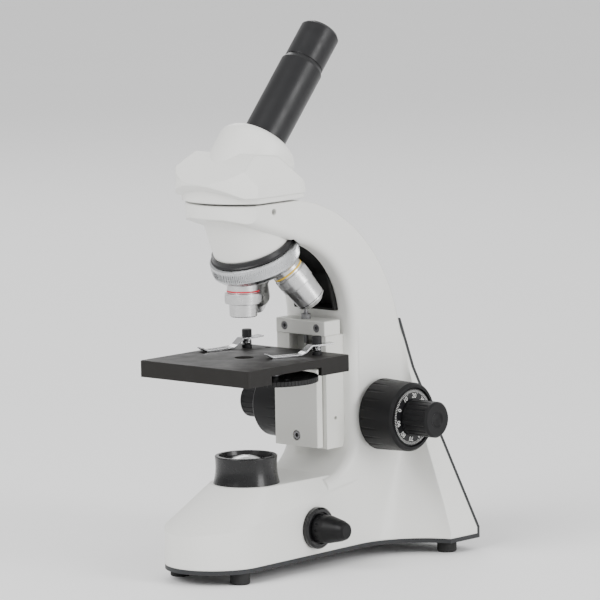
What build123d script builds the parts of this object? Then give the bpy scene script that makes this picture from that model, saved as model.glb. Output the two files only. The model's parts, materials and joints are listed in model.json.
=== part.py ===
"""A monocular student microscope: cast stand, turning head, tilted nosepiece, focusing stage and lamp.

Millimetres, +Z up. The origin is on the table under the middle of the bounding box, +Y is the back.
Sketches are drawn on planes that pass through the optical axis, so a drawn y is counted from that axis.
"""

from build123d import *
from math import acos, atan2, cos, degrees, pi, radians, sin, tan
import os

os.makedirs("parts", exist_ok=True)

# ---- Driving dimensions ----------------------------------------------------------------------------
# Plan of the base
NOSE_RADIUS = 34.5
NOSE_Y = -29.5
WAIST_HALF = 31.0
WAIST_Y = 78.5
FLARE_HALF = 68.0
FLARE_RADIUS = 50.0
BACK_Y = 154.5
COVER_THICKNESS = 2.6
AXIS_Y = -(NOSE_Y - NOSE_RADIUS + BACK_Y + COVER_THICKNESS) / 2

# Heights of the stand
FOOT_HEIGHT = 7.6
PLATE_THICKNESS = 3.0
SEAM_Z = FOOT_HEIGHT + PLATE_THICKNESS
RIDGE_Z = 38.0
RIDGE_TILT = 8.7
DECK_Z = 59.5
HEEL_Z = 15.0
COVER_TOP_Z = 157.5
COVER_TOP_Y = 119.0
FLANK_HALF = 35.5
FLANK_Z = 124.0
FIN_Z = 72.0
FIN_FRONT_Y = 124.0
FIN_CORNER_RADIUS = 6.0
PLATFORM_Z = 245.9
FLANGE_THICKNESS = 9.2
WALL = 4.0
BASE_CAVITY_HEIGHT = 19.4

# Arm
ARM_HALF = 31.0
ARM_FRONT_Y = 74.0
ARM_EDGE_RADIUS = 6.0
BROW_SLOPE = 0.33
THROAT_RADIUS = 60.0
THROAT_Z = 158.0
HEEL_ARC_RADIUS = 28.0
CREST_Y = 22.0
FLANGE_CORNER_Y = -20.0
FLANGE_FRONT_Y = -36.0

# Head and eyepiece tube, measured along the tube axis from the prism
TUBE_TILT = 41.5
PRISM_Z = 259.3
COLLAR_RADIUS = 27.0
COLLAR_END = 30.5
COLLAR_BACK_Y = 12.0
TUBE_RADIUS = 14.55
TUBE_END = 95.0
TUBE_BORE = 11.65
EYEPIECE_RADIUS = 13.5
EYEPIECE_END = 122.7
HEAD_GAP = 1.6
HEAD_HALF = 34.0
SOCKET_RADIUS = 20.0

# Nosepiece, measured down its own axis from the apex where the objective axes meet
TURRET_TILT = 22.5
APEX_Z = 236.5
CONE_RADIUS = 25.5
CONE_END = 22.4
RING_START = 26.6
RING_RADIUS = 29.6
RING_KNURL_END = 36.0
RING_END = 39.0
SEAT = 38.5
THREAD_START = 34.0
THREAD_RADIUS = 10.1

# Focus
SHAFT_Y = 97.2
SHAFT_Z = 96.1
KNOB_START_X = 34.0
KNOB_END_X = 62.0
KNOB_RADIUS = 23.8
FINE_END_X = 83.1
FINE_RADIUS = 12.0
COARSE_SHAFT_RADIUS = 4.0
FINE_SHAFT_RADIUS = 2.4
RUNNING_FIT = 0.05
PINION_TEETH = 12
MODULE = 1.0
GUIDE_HALF = 21.5
GUIDE_FRONT_Y = 56.5
GUIDE_BOTTOM_Z = 76.0
GUIDE_TOP_Z = 151.4
CHANNEL_HALF = 10.7
WEB_SLOT_HALF = 6.5
WEB_SLOT_TOP_Z = 146.0
SLIDE_GAP = 0.35
CROSSBAR_HEIGHT = 9.9
CARRIAGE_HALF = 18.9
CARRIAGE_FRONT_Y = 50.0
CARRIAGE_THICKNESS = 5.6
CARRIAGE_BOTTOM_Z = 77.4
CARRIAGE_TOP_Z = 129.6

# Stage
STAGE_WIDTH = 95.7
STAGE_FRONT_Y = -49.2
STAGE_BACK_Y = 50.4
STAGE_TOP_Z = 142.4
STAGE_SKIRT = 10.9
STAGE_SLAB = 3.0
POST_X = 31.0
POST_Y = 37.0
DISC_X = 20.0
DISC_Y = 6.0
DISC_RADIUS = 29.5
DISC_Z = 127.6
DISC_THICKNESS = 3.4

# Lamp and dimmer
COLLAR_BASE_RADIUS = 22.0
COLLAR_TOP_RADIUS = 20.8
LAMP_TOP_Z = 77.9
LAMP_BORE = 17.0
DIMMER_Y = 31.5
DIMMER_Z = 28.2
BEZEL_RADIUS = 13.8
SIDE_WALL_X = 34.0
BEZEL_BASE_X = SIDE_WALL_X - 1.6
BEZEL_FACE_X = SIDE_WALL_X + 3.2
JACK_X = 18.0
JACK_Z = 21.0
JACK_RADIUS = 5.5

# ---- Planes and axes -------------------------------------------------------------------------------
PLAN = Plane(origin=(0, AXIS_Y, 0))
SIDE = Plane(origin=(0, AXIS_Y, 0), x_dir=(0, 1, 0), z_dir=(1, 0, 0))
FRONT = Plane(origin=(0, AXIS_Y, 0), x_dir=(1, 0, 0), z_dir=(0, -1, 0))
TUBE = Plane(
    origin=(0, AXIS_Y, PRISM_Z),
    x_dir=(1, 0, 0),
    z_dir=(0, sin(radians(TUBE_TILT)), cos(radians(TUBE_TILT))),
)
TURRET = Plane(
    origin=(0, AXIS_Y, APEX_Z),
    x_dir=(1, 0, 0),
    z_dir=(0, sin(radians(TURRET_TILT)), -cos(radians(TURRET_TILT))),
)
SHAFT = Plane(origin=(0, AXIS_Y + SHAFT_Y, SHAFT_Z), x_dir=(0, 1, 0), z_dir=(1, 0, 0))
DIMMER = Plane(origin=(0, AXIS_Y + DIMMER_Y, DIMMER_Z), x_dir=(0, 1, 0), z_dir=(1, 0, 0))


def objective_frame(angle):
    """Frame of an objective: origin at the apex, Z along its optical axis, turned about the turret."""
    down = Vector(0, 0, -1).rotate(Axis((0, 0, 0), TURRET.z_dir), angle)
    return Plane(origin=TURRET.origin, x_dir=TURRET.z_dir.cross(down), z_dir=down)


def half_section(frame, *points):
    """Closed half section, drawn as (radius, height) points in a frame."""
    with BuildSketch(Plane(origin=frame.origin, x_dir=frame.x_dir, z_dir=-frame.y_dir)) as section:
        with BuildLine():
            Polyline(*points, close=True)
        make_face()
    return section.sketch


def turn(frame, *points, mode=Mode.ADD):
    """Revolve a half section about a frame's Z axis in the open part."""
    revolve(half_section(frame, *points), axis=Axis(frame.origin, frame.z_dir), mode=mode)


def tube_points(inner, outer, start, end):
    """Half section of a plain ring."""
    return (inner, start), (outer, start), (outer, end), (inner, end)


def lens(frame, radius, start, thickness, crown):
    """Plano-convex lens in the open part, with a spherical crown towards +Z."""
    sphere = (radius**2 + crown**2) / (2 * crown)
    rim_angle = degrees(atan2(sphere - crown, radius))
    with BuildSketch(Plane(origin=frame.origin, x_dir=frame.x_dir, z_dir=-frame.y_dir)) as section:
        with BuildLine():
            dome = CenterArc((0, start + thickness + crown - sphere), sphere, rim_angle, 90 - rim_angle)
            Polyline(dome @ 1, (0, start), (radius, start), dome @ 0)
        make_face()
    revolve(section.sketch, axis=Axis(frame.origin, frame.z_dir))


def outline(plane, *points):
    """Closed straight-sided outline on a plane."""
    with BuildSketch(plane) as shape:
        with BuildLine():
            Polyline(*points, close=True)
        make_face()
    return shape.sketch


def save(piece, name):
    """Label a finished piece and write it."""
    piece.part.label = name
    export_step(piece.part, f"parts/{name}.step")


BACK_SLOPE = atan2(BACK_Y - COVER_TOP_Y, COVER_TOP_Z - HEEL_Z)
COVER_Y = COVER_THICKNESS / cos(BACK_SLOPE)


def back_frame(x, z):
    """Frame on the outside of the rear cover at a width and height, Z pointing out of it."""
    y = BACK_Y + COVER_Y - (z - HEEL_Z) * (BACK_Y - COVER_TOP_Y) / (COVER_TOP_Z - HEEL_Z)
    return Plane(origin=(x, AXIS_Y + y, z), x_dir=(1, 0, 0), z_dir=(0, cos(BACK_SLOPE), sin(BACK_SLOPE)))


# ---- Stand -----------------------------------------------------------------------------------------
def base_plan(height):
    """Plan of the base: round nose, slim waist, concave flare and square back."""
    with BuildSketch(PLAN.offset(height)) as plan:
        with BuildLine():
            nose = CenterArc((0, NOSE_Y), NOSE_RADIUS, -90, 90)
            waist = Line(nose @ 1, (WAIST_HALF, WAIST_Y))
            reach = degrees(acos((WAIST_HALF + FLARE_RADIUS - FLARE_HALF) / FLARE_RADIUS))
            flare = CenterArc((WAIST_HALF + FLARE_RADIUS, WAIST_Y), FLARE_RADIUS, 180, -reach)
            Polyline(flare @ 1, (FLARE_HALF, BACK_Y), (0, BACK_Y))
            mirror(about=Plane.YZ)
        make_face()
    return plan.sketch


def nose_plan(plane, radius, centre_y, back_half, back_y):
    """Round-fronted outline of the front of the base, for the lofts."""
    with BuildSketch(plane) as plan:
        with BuildLine():
            arc = CenterArc((0, centre_y), radius, 180, 180)
            Polyline(arc @ 1, (back_half, back_y), (-back_half, back_y), arc @ 0)
        make_face()
    return plan.sketch


def arm_profile():
    """Side view of the arm, from the head platform round the throat and down to the heel."""
    slope = degrees(atan2(BROW_SLOPE, 1))
    throat_centre = (ARM_FRONT_Y - THROAT_RADIUS, THROAT_Z)
    heel_centre = (ARM_FRONT_Y - HEEL_ARC_RADIUS, DECK_Z - 1.5 + HEEL_ARC_RADIUS)
    flange_z = PLATFORM_Z - FLANGE_THICKNESS
    with BuildSketch(SIDE.offset(-ARM_HALF)) as profile:
        with BuildLine():
            throat = CenterArc(throat_centre, THROAT_RADIUS, 0, 90 - slope)
            heel = CenterArc(heel_centre, HEEL_ARC_RADIUS, -90, 90)
            Line(throat @ 0, heel @ 1)
            brow_y = (throat @ 1).X - (flange_z - (throat @ 1).Y) / tan(radians(slope))
            Polyline(throat @ 1, (brow_y, flange_z), (FLANGE_FRONT_Y - 4, flange_z),
                     (FLANGE_FRONT_Y - 4, PLATFORM_Z), (CREST_Y, PLATFORM_Z))
            back = Line((BACK_Y, HEEL_Z), (COVER_TOP_Y, COVER_TOP_Z))
            TangentArc(back @ 1, (CREST_Y, PLATFORM_Z), tangent=back % 1)
            Polyline(back @ 0, (BACK_Y, SEAM_Z), (heel_centre[0], SEAM_Z), heel @ 0)
        make_face()
    return profile.sketch


with BuildPart() as arm:
    extrude(arm_profile(), amount=2 * ARM_HALF)
    flanks = arm.edges().filter_by(lambda e: abs(abs(e.center().X) - ARM_HALF) < 0.01)
    throat = flanks.filter_by(lambda e: -5 < e.center().Y - AXIS_Y < ARM_FRONT_Y + 1 and e.length > 15
                              and DECK_Z < e.center().Z < PLATFORM_Z - FLANGE_THICKNESS - 1)
    fillet(throat, radius=ARM_EDGE_RADIUS)


def back_outline(plane, foot_z):
    """Outline of the back seen from behind: wide foot, narrowing in two steps to the arm's width."""
    right = ((FLARE_HALF, foot_z), (FLARE_HALF, HEEL_Z), (FLANK_HALF, FLANK_Z), (ARM_HALF, COVER_TOP_Z))
    left = ((-x, z) for x, z in reversed(right))
    return outline(plane, *right, *left)


def scoop_plan(height, radius, back_y):
    """Plan of the hollow in front of the fin on the +X side, with one rounded corner."""
    with BuildSketch(PLAN.offset(height)) as plan:
        with BuildLine():
            Polyline((ARM_HALF, 0), (2 * FLARE_HALF, 0), (2 * FLARE_HALF, back_y), (ARM_HALF, back_y),
                     close=True)
        make_face()
        fillet(plan.vertices().group_by(Axis.Y)[-1].sort_by(Axis.X)[0], radius=radius)
    return plan.sketch


with BuildPart() as scoops:
    scoop_foot = scoop_plan(SEAM_Z, FLARE_RADIUS, WAIST_Y + FLARE_RADIUS)
    scoop_waist = scoop_plan(FIN_Z, FIN_CORNER_RADIUS, FIN_FRONT_Y)
    loft([scoop_foot, scoop_waist], ruled=True)
    extrude(scoop_waist, amount=COVER_TOP_Z - FIN_Z)
    mirror(about=Plane.YZ)

with BuildPart() as flare:
    extrude(back_outline(FRONT.offset(-BACK_Y), SEAM_Z), amount=BACK_Y - WAIST_Y)
    extrude(outline(SIDE.offset(-FLARE_HALF), (WAIST_Y, SEAM_Z), (BACK_Y, SEAM_Z), (BACK_Y, HEEL_Z),
                    (COVER_TOP_Y, COVER_TOP_Z), (WAIST_Y, COVER_TOP_Z)),
            amount=2 * FLARE_HALF, mode=Mode.INTERSECT)
    add(scoops.part, mode=Mode.SUBTRACT)

RIDGE = Plane(origin=(0, AXIS_Y + NOSE_Y, RIDGE_Z), x_dir=(1, 0, 0),
              z_dir=(0, -sin(radians(RIDGE_TILT)), cos(radians(RIDGE_TILT))))
NOSE_BACK_Y = 80.0
with BuildPart() as nose:
    wall_foot = nose_plan(PLAN.offset(SEAM_Z), NOSE_RADIUS, NOSE_Y, WAIST_HALF, NOSE_BACK_Y)
    ridge = nose_plan(RIDGE, NOSE_RADIUS, 0, WAIST_HALF, NOSE_BACK_Y - NOSE_Y)
    deck = nose_plan(PLAN.offset(DECK_Z), COLLAR_BASE_RADIUS + 2.5, 0, ARM_HALF - ARM_EDGE_RADIUS, NOSE_BACK_Y)
    loft([wall_foot, ridge], ruled=True)
    loft([ridge, deck], ruled=True)

# The round cone under the platform that carries the nosepiece
with BuildPart() as cone:
    turn(TURRET, (0, -12), (CONE_RADIUS, -12), (CONE_RADIUS, CONE_END), (0, CONE_END))
    split(bisect_by=PLAN.offset(PLATFORM_Z - FLANGE_THICKNESS), keep=Keep.BOTTOM)


def web_slot(front_y):
    """Outline of the slot that the carriage's web runs in."""
    return outline(FRONT.offset(-front_y), (-WEB_SLOT_HALF, GUIDE_BOTTOM_Z), (WEB_SLOT_HALF, GUIDE_BOTTOM_Z),
                   (WEB_SLOT_HALF, WEB_SLOT_TOP_Z), (-WEB_SLOT_HALF, WEB_SLOT_TOP_Z))


CAVITY_FRONT_Y = ARM_FRONT_Y + 5
CAVITY_HALF = ARM_HALF - 5
CAVITY_TOP_Z = 150.0
LINER_HALF = 18.0
LINER_FOOT_Z = 167.0
# Back of the pocket in the throat, as (y, z) points from its foot to its top
POCKET_BACK = ((86, LINER_FOOT_Z), (80, 190), (62, 211))
# Room swept by the objectives, as (radius, distance) points in the turret's frame
SWEPT_ROOM = ((0, CONE_END), (30.4, CONE_END), (30.4, 38.5), (32.6, 41), (36, 49), (41.2, 66), (41.2, 81),
              (0, 81))
SOCKET_DEPTH = 8.0
LIGHT_PATH_RADIUS = 8.0
LIGHT_PATH_FOOT_Z = 190.0
CLAMP_Y = -2.8
CLAMP_Z = 240.6
BUSH_RADIUS = 7.5
with BuildPart() as stand:
    add(arm.part)
    with BuildSketch(PLAN):
        with BuildLine():
            brow = ThreePointArc((-ARM_HALF, FLANGE_CORNER_Y), (0, FLANGE_FRONT_Y),
                                 (ARM_HALF, FLANGE_CORNER_Y))
            Polyline(brow @ 1, (ARM_HALF, BACK_Y), (-ARM_HALF, BACK_Y), brow @ 0)
        make_face()
    extrude(amount=PLATFORM_Z, mode=Mode.INTERSECT)
    # round relief in which the nosepiece turns
    turn(TURRET, *SWEPT_ROOM, mode=Mode.SUBTRACT)
    add(flare.part)
    add(nose.part)
    add(cone.part)
    # hollow base, open below
    extrude(nose_plan(PLAN.offset(SEAM_Z), NOSE_RADIUS - WALL, NOSE_Y, WAIST_HALF - WALL, BACK_Y - WALL),
            amount=BASE_CAVITY_HEIGHT, mode=Mode.SUBTRACT)
    # lamp well
    turn(PLAN, (0, SEAM_Z), (LAMP_BORE - 0.5, SEAM_Z), (LAMP_BORE - 0.5, DECK_Z), (0, DECK_Z),
         mode=Mode.SUBTRACT)
    # drive cavity in the arm, open behind
    extrude(outline(SIDE.offset(-CAVITY_HALF), (CAVITY_FRONT_Y, RIDGE_Z + 6), (BACK_Y, RIDGE_Z + 6),
                    (BACK_Y, CAVITY_TOP_Z), (CAVITY_FRONT_Y, CAVITY_TOP_Z)),
            amount=2 * CAVITY_HALF, mode=Mode.SUBTRACT)
    # seat of the guide block and slot for the carriage web
    extrude(outline(FRONT.offset(-ARM_FRONT_Y), (-GUIDE_HALF, GUIDE_BOTTOM_Z), (GUIDE_HALF, GUIDE_BOTTOM_Z),
                    (GUIDE_HALF, GUIDE_TOP_Z), (-GUIDE_HALF, GUIDE_TOP_Z)), amount=20, mode=Mode.SUBTRACT)
    extrude(web_slot(CAVITY_FRONT_Y), amount=6, mode=Mode.SUBTRACT)
    # pocket behind the nosepiece, which gives the long objective room to swing past
    extrude(outline(SIDE.offset(-LINER_HALF), (55, LINER_FOOT_Z), *POCKET_BACK, (36, 221), (30, 205)),
            amount=2 * LINER_HALF, mode=Mode.SUBTRACT)
    # socket of the head, light path and clamp screw hole
    turn(PLAN, *tube_points(0, SOCKET_RADIUS + RUNNING_FIT, PLATFORM_Z - SOCKET_DEPTH, PLATFORM_Z),
         mode=Mode.SUBTRACT)
    turn(PLAN, *tube_points(0, LIGHT_PATH_RADIUS, LIGHT_PATH_FOOT_Z, PLATFORM_Z), mode=Mode.SUBTRACT)
    with Locations(Plane(origin=(ARM_HALF, AXIS_Y + CLAMP_Y, CLAMP_Z), z_dir=(1, 0, 0))):
        Hole(radius=2.0, depth=ARM_HALF - SOCKET_RADIUS - 1)
    # shaft bores and dimmer bore
    with Locations(SHAFT):
        Cylinder(radius=BUSH_RADIUS, height=2 * ARM_HALF + 2, mode=Mode.SUBTRACT)
    turn(DIMMER, (0, CAVITY_HALF - 8), (8.4, CAVITY_HALF - 8), (8.4, SIDE_WALL_X - 5.5),
         (4.0, SIDE_WALL_X - 5.5), (4.0, BEZEL_BASE_X), (BEZEL_RADIUS, BEZEL_BASE_X),
         (BEZEL_RADIUS, BEZEL_BASE_X + 10), (0, BEZEL_BASE_X + 10), mode=Mode.SUBTRACT)
    # hole of the power jack
    turn(back_frame(JACK_X, JACK_Z), (0, -14), (JACK_RADIUS, -14), (JACK_RADIUS, 0), (0, 0), mode=Mode.SUBTRACT)
save(stand, "stand")

# ---- Covers, feet and the electric parts in the base ------------------------------------------------
FRONT_FOOT = (26.5, -37.0)
REAR_FOOT = (56.8, 136.0)
FOOT_RADIUS = 6.6
FEET = [(side * x, y) for x, y in (FRONT_FOOT, REAR_FOOT) for side in (-1, 1)]
PLATE_SCREWS = [(side * x, y) for x, y in ((20.0, 10.0), (24.0, 90.0)) for side in (-1, 1)]

with BuildPart() as bottom_plate:
    extrude(base_plan(FOOT_HEIGHT), amount=PLATE_THICKNESS)
    with Locations(PLAN.offset(SEAM_Z)):
        with Locations(*PLATE_SCREWS):
            Hole(radius=1.7, depth=PLATE_THICKNESS)
save(bottom_plate, "bottom_plate")

with BuildPart(PLAN) as rubber_feet:
    with Locations(*FEET):
        Cylinder(radius=FOOT_RADIUS, height=FOOT_HEIGHT, align=(Align.CENTER, Align.CENTER, Align.MIN))
    chamfer(rubber_feet.edges().group_by(Axis.Z)[0], length=0.8)
save(rubber_feet, "rubber_feet")

with BuildPart(PLAN.offset(FOOT_HEIGHT - 1.4)) as bottom_plate_screws:
    with Locations(*PLATE_SCREWS):
        Cylinder(radius=3.0, height=1.4, align=(Align.CENTER, Align.CENTER, Align.MIN))
        Cylinder(radius=1.6, height=1.4 + PLATE_THICKNESS, align=(Align.CENTER, Align.CENTER, Align.MIN))
save(bottom_plate_screws, "bottom_plate_screws")

COVER_SCREWS = [(side * x, z) for x, z in ((22.0, 148.0), (50.0, 48.0)) for side in (-1, 1)]

with BuildPart() as rear_cover:
    extrude(outline(SIDE.offset(-FLARE_HALF), (BACK_Y, FOOT_HEIGHT), (BACK_Y + COVER_THICKNESS, FOOT_HEIGHT),
                    (BACK_Y + COVER_THICKNESS, HEEL_Z), (COVER_TOP_Y + COVER_Y, COVER_TOP_Z),
                    (COVER_TOP_Y, COVER_TOP_Z), (BACK_Y, HEEL_Z)), amount=2 * FLARE_HALF)
    extrude(back_outline(FRONT.offset(-BACK_Y - COVER_THICKNESS), FOOT_HEIGHT),
            amount=BACK_Y - WAIST_Y, mode=Mode.INTERSECT)
    for x, z in COVER_SCREWS:
        with Locations(back_frame(x, z)):
            Hole(radius=1.7, depth=8)
    with Locations(back_frame(JACK_X, JACK_Z)):
        Hole(radius=JACK_RADIUS, depth=8)
save(rear_cover, "rear_cover")

with BuildPart() as rear_cover_screws:
    for x, z in COVER_SCREWS:
        turn(back_frame(x, z), (0, -COVER_THICKNESS), (1.6, -COVER_THICKNESS), (1.6, 0), (3.0, 0),
             (2.4, 1.2), (0, 1.2))
save(rear_cover_screws, "rear_cover_screws")

with BuildPart() as power_jack:
    turn(back_frame(JACK_X, JACK_Z), (2.9, 0.4), (JACK_RADIUS, 0.4), (JACK_RADIUS, -11), (0, -11), (0, -10),
         (2.9, -10))
    turn(back_frame(JACK_X, JACK_Z), (0, -10), (1.0, -10), (1.0, -1.5), (0, -1.5))
save(power_jack, "power_jack")

with BuildPart() as recess_liner:
    extrude(outline(SIDE.offset(0.3 - LINER_HALF), (70, LINER_FOOT_Z), *POCKET_BACK, (48, 216.2), (61, 203)),
            amount=2 * LINER_HALF - 0.6)
    extrude(outline(SIDE.offset(1.5 - LINER_HALF), (40, LINER_FOOT_Z + 1.5), (84.1, LINER_FOOT_Z + 1.5),
                    (78.5, 189.5), (61, 209.5), (40, 216)), amount=2 * LINER_HALF - 3, mode=Mode.SUBTRACT)
save(recess_liner, "recess_liner")

with BuildPart() as illuminator_collar:
    collar_height = LAMP_TOP_Z - DECK_Z
    with BuildSketch(Plane(origin=PLAN.origin, x_dir=(1, 0, 0), z_dir=(0, -1, 0))):
        with BuildLine():
            ThreePointArc((COLLAR_BASE_RADIUS, DECK_Z), (COLLAR_TOP_RADIUS - 0.5, DECK_Z + collar_height * 0.6),
                          (COLLAR_TOP_RADIUS, LAMP_TOP_Z))
            Polyline((COLLAR_TOP_RADIUS, LAMP_TOP_Z), (LAMP_BORE + 1, LAMP_TOP_Z), (LAMP_BORE, LAMP_TOP_Z - 4),
                     (LAMP_BORE, DECK_Z), (COLLAR_BASE_RADIUS, DECK_Z))
        make_face()
    revolve(axis=Axis(PLAN.origin, (0, 0, 1)))
    fillet(illuminator_collar.edges().group_by(Axis.Z)[-1].sort_by(SortBy.RADIUS)[-1], radius=0.8)
save(illuminator_collar, "illuminator_collar")

LENS_RIM = 3.0
LENS_CROWN = 10.0
with BuildPart() as collector_lens:
    lens(PLAN, LAMP_BORE, LAMP_TOP_Z - LENS_RIM - LENS_CROWN, LENS_RIM, LENS_CROWN)
save(collector_lens, "collector_lens")

LAMP_Z = DECK_Z - 8
with BuildPart() as lamp_board:
    turn(PLAN, (0, LAMP_Z), (LAMP_BORE - 0.5, LAMP_Z), (LAMP_BORE - 0.5, LAMP_Z + 1.6), (0, LAMP_Z + 1.6))
save(lamp_board, "lamp_board")

with BuildPart() as lamp_led:
    turn(PLAN, (0, LAMP_Z + 1.6), (3.5, LAMP_Z + 1.6), (3.5, LAMP_Z + 3), (2.4, LAMP_Z + 5), (0, LAMP_Z + 5.6))
save(lamp_led, "lamp_led")

with BuildPart() as dimmer_bezel:
    turn(DIMMER, (4.2, BEZEL_BASE_X), (BEZEL_RADIUS, BEZEL_BASE_X), (BEZEL_RADIUS, BEZEL_FACE_X - 1.2),
         (BEZEL_RADIUS - 1.2, BEZEL_FACE_X), (10.6, BEZEL_FACE_X), (10.2, BEZEL_FACE_X - 1.5),
         (4.2, BEZEL_FACE_X - 1.5))
save(dimmer_bezel, "dimmer_bezel")

KNOB_START = BEZEL_FACE_X - 1.2
with BuildPart() as dimmer_knob:
    turn(DIMMER, (0, KNOB_START), (9.6, KNOB_START), (9.2, KNOB_START + 9), (7.0, KNOB_START + 19),
         (5.6, KNOB_START + 22.5), (4.4, KNOB_START + 23.6), (0, KNOB_START + 23.6))
    with Locations(DIMMER.offset(KNOB_START + 3)):
        with PolarLocations(radius=9.6, count=14):
            Cylinder(radius=0.8, height=24, rotation=(0, 12, 0),
                     align=(Align.CENTER, Align.CENTER, Align.MIN), mode=Mode.SUBTRACT)
    turn(DIMMER, (0, KNOB_START - 1), (3.05, KNOB_START - 1), (3.05, KNOB_START + 12), (0, KNOB_START + 12),
         mode=Mode.SUBTRACT)
save(dimmer_knob, "dimmer_knob")

with BuildPart() as dimmer_shaft:
    turn(DIMMER, *tube_points(0, 3.0, SIDE_WALL_X - 12.9, KNOB_START + 12))
save(dimmer_shaft, "dimmer_shaft")

with BuildPart() as dimmer_potentiometer:
    turn(DIMMER, (3.05, SIDE_WALL_X - 12.5), (8.0, SIDE_WALL_X - 12.5), (8.0, SIDE_WALL_X - 5.6),
         (3.95, SIDE_WALL_X - 5.6), (3.95, BEZEL_BASE_X), (3.05, BEZEL_BASE_X))
save(dimmer_potentiometer, "dimmer_potentiometer")

# ---- Head and eyepiece ------------------------------------------------------------------------------
HEAD_BOTTOM = PLATFORM_Z + HEAD_GAP
VISOR_Z = 260.0
VISOR_FRONT_Y = -45.0
FACET_TOP = (-15.0, 278.5)
ROOF_BACK = (6.0, 276.0)
SHOULDER_BACK = (24.0, 258.5)
VISOR_FOOT_Z = 251.0
SHOULDER_Z = 256.0
HEAD_BACK_Y = 30.0


def head_plan(height, half, corner_y, front_y, back_y):
    """Plan of the head: bowed front, straight sides and a rounded back."""
    with BuildSketch(PLAN.offset(height)) as plan:
        with BuildLine():
            brow = ThreePointArc((-half, corner_y), (0, front_y), (half, corner_y))
            Polyline(brow @ 1, (half, back_y), (-half, back_y), brow @ 0)
        make_face()
        fillet(plan.vertices().group_by(Axis.Y)[-1], radius=10)
    return plan.sketch


with BuildPart() as visor:
    extrude(head_plan(VISOR_FOOT_Z, HEAD_HALF + 1, -22, VISOR_FRONT_Y, HEAD_BACK_Y), amount=40)
    extrude(outline(SIDE.offset(-60), (-37.8, SHOULDER_Z - 0.5), (VISOR_FRONT_Y - 0.5, VISOR_Z), FACET_TOP,
                    ROOF_BACK, SHOULDER_BACK, (HEAD_BACK_Y, SHOULDER_Z), (HEAD_BACK_Y, VISOR_FOOT_Z),
                    (-30, VISOR_FOOT_Z)),
            amount=120, mode=Mode.INTERSECT)
    extrude(outline(FRONT.offset(60), (-35, 250), (35, 250), (35, 259), (26, 279), (-26, 279), (-35, 259)),
            amount=-120, mode=Mode.INTERSECT)

with BuildPart() as tube_collar:
    turn(TUBE, (0, -20), (COLLAR_RADIUS, -20), (COLLAR_RADIUS, COLLAR_END), (0, COLLAR_END))
    fillet(tube_collar.edges().sort_by(Axis(TUBE.origin, TUBE.z_dir))[-1], radius=8)
    with BuildSketch(PLAN.offset(SHOULDER_Z - 2)):
        with BuildLine():
            back = CenterArc((0, COLLAR_BACK_Y), COLLAR_RADIUS, 0, 180)
            Polyline(back @ 1, (-COLLAR_RADIUS, -50), (COLLAR_RADIUS, -50), back @ 0)
        make_face()
    extrude(amount=60, mode=Mode.INTERSECT)

with BuildPart() as head_housing:
    extrude(head_plan(HEAD_BOTTOM, HEAD_HALF, FLANGE_CORNER_Y, FLANGE_FRONT_Y - 2, HEAD_BACK_Y),
            amount=SHOULDER_Z - HEAD_BOTTOM)
    add(visor.part)
    add(tube_collar.part)
    turn(TUBE, (0, 6), (TUBE_RADIUS, 6), (TUBE_RADIUS, COLLAR_END), (0, COLLAR_END), mode=Mode.SUBTRACT)
    extrude(outline(PLAN.offset(HEAD_BOTTOM), (-14, -16), (14, -16), (14, 16), (-14, 16)),
            amount=PRISM_Z + 9 - HEAD_BOTTOM, mode=Mode.SUBTRACT)
save(head_housing, "head_housing")

with BuildPart() as head_dovetail:
    turn(PLAN, (14, PLATFORM_Z - 7.6), (SOCKET_RADIUS, PLATFORM_Z - 7.6), (SOCKET_RADIUS, HEAD_BOTTOM),
         (14, HEAD_BOTTOM))
save(head_dovetail, "head_dovetail")

PRISM_HALF = 8.0
with BuildPart() as prism:
    extrude(outline(SIDE.offset(-PRISM_HALF), (-10, PRISM_Z - 9), (10, PRISM_Z - 9), (10, PRISM_Z - 3),
                    (-4, PRISM_Z + 8), (-10, PRISM_Z + 4)), amount=2 * PRISM_HALF)
save(prism, "prism")

HOLDER_HALF = 13.9
with BuildPart() as prism_holder:
    extrude(outline(SIDE.offset(-HOLDER_HALF), (-12, HEAD_BOTTOM), (12, HEAD_BOTTOM), (12, PRISM_Z - 9),
                    (-12, PRISM_Z - 9)), amount=2 * HOLDER_HALF)
    turn(PLAN, *tube_points(0, 7, HEAD_BOTTOM - 1, PRISM_Z), mode=Mode.SUBTRACT)
save(prism_holder, "prism_holder")

with BuildPart() as eyepiece_tube:
    turn(TUBE, (TUBE_BORE, 13), (TUBE_RADIUS, 13), (TUBE_RADIUS, TUBE_END - 3),
         (EYEPIECE_RADIUS, TUBE_END - 0.6), (EYEPIECE_RADIUS, TUBE_END), (TUBE_BORE, TUBE_END))
save(eyepiece_tube, "eyepiece_tube")

BARREL_START = TUBE_END - 22
with BuildPart() as eyepiece_shell:
    turn(TUBE, (10.0, BARREL_START), (TUBE_BORE - RUNNING_FIT, BARREL_START),
         (TUBE_BORE - RUNNING_FIT, TUBE_END), (EYEPIECE_RADIUS - 0.6, TUBE_END), (EYEPIECE_RADIUS - 0.6, TUBE_END + 0.6),
         (EYEPIECE_RADIUS, TUBE_END + 0.6), (EYEPIECE_RADIUS, EYEPIECE_END - 2),
         (EYEPIECE_RADIUS - 1.6, EYEPIECE_END), (10.5, EYEPIECE_END), (8.5, EYEPIECE_END - 3),
         (8.5, EYEPIECE_END - 8), (10.0, EYEPIECE_END - 8))
save(eyepiece_shell, "eyepiece_shell")

with BuildPart() as eyepiece_eye_lens:
    lens(TUBE, 8.45, EYEPIECE_END - 6.5, 1.6, 1.2)
save(eyepiece_eye_lens, "eyepiece_eye_lens")

with BuildPart() as eyepiece_field_lens:
    lens(TUBE, 9.95, BARREL_START + 2, 1.6, 2.0)
save(eyepiece_field_lens, "eyepiece_field_lens")

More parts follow.
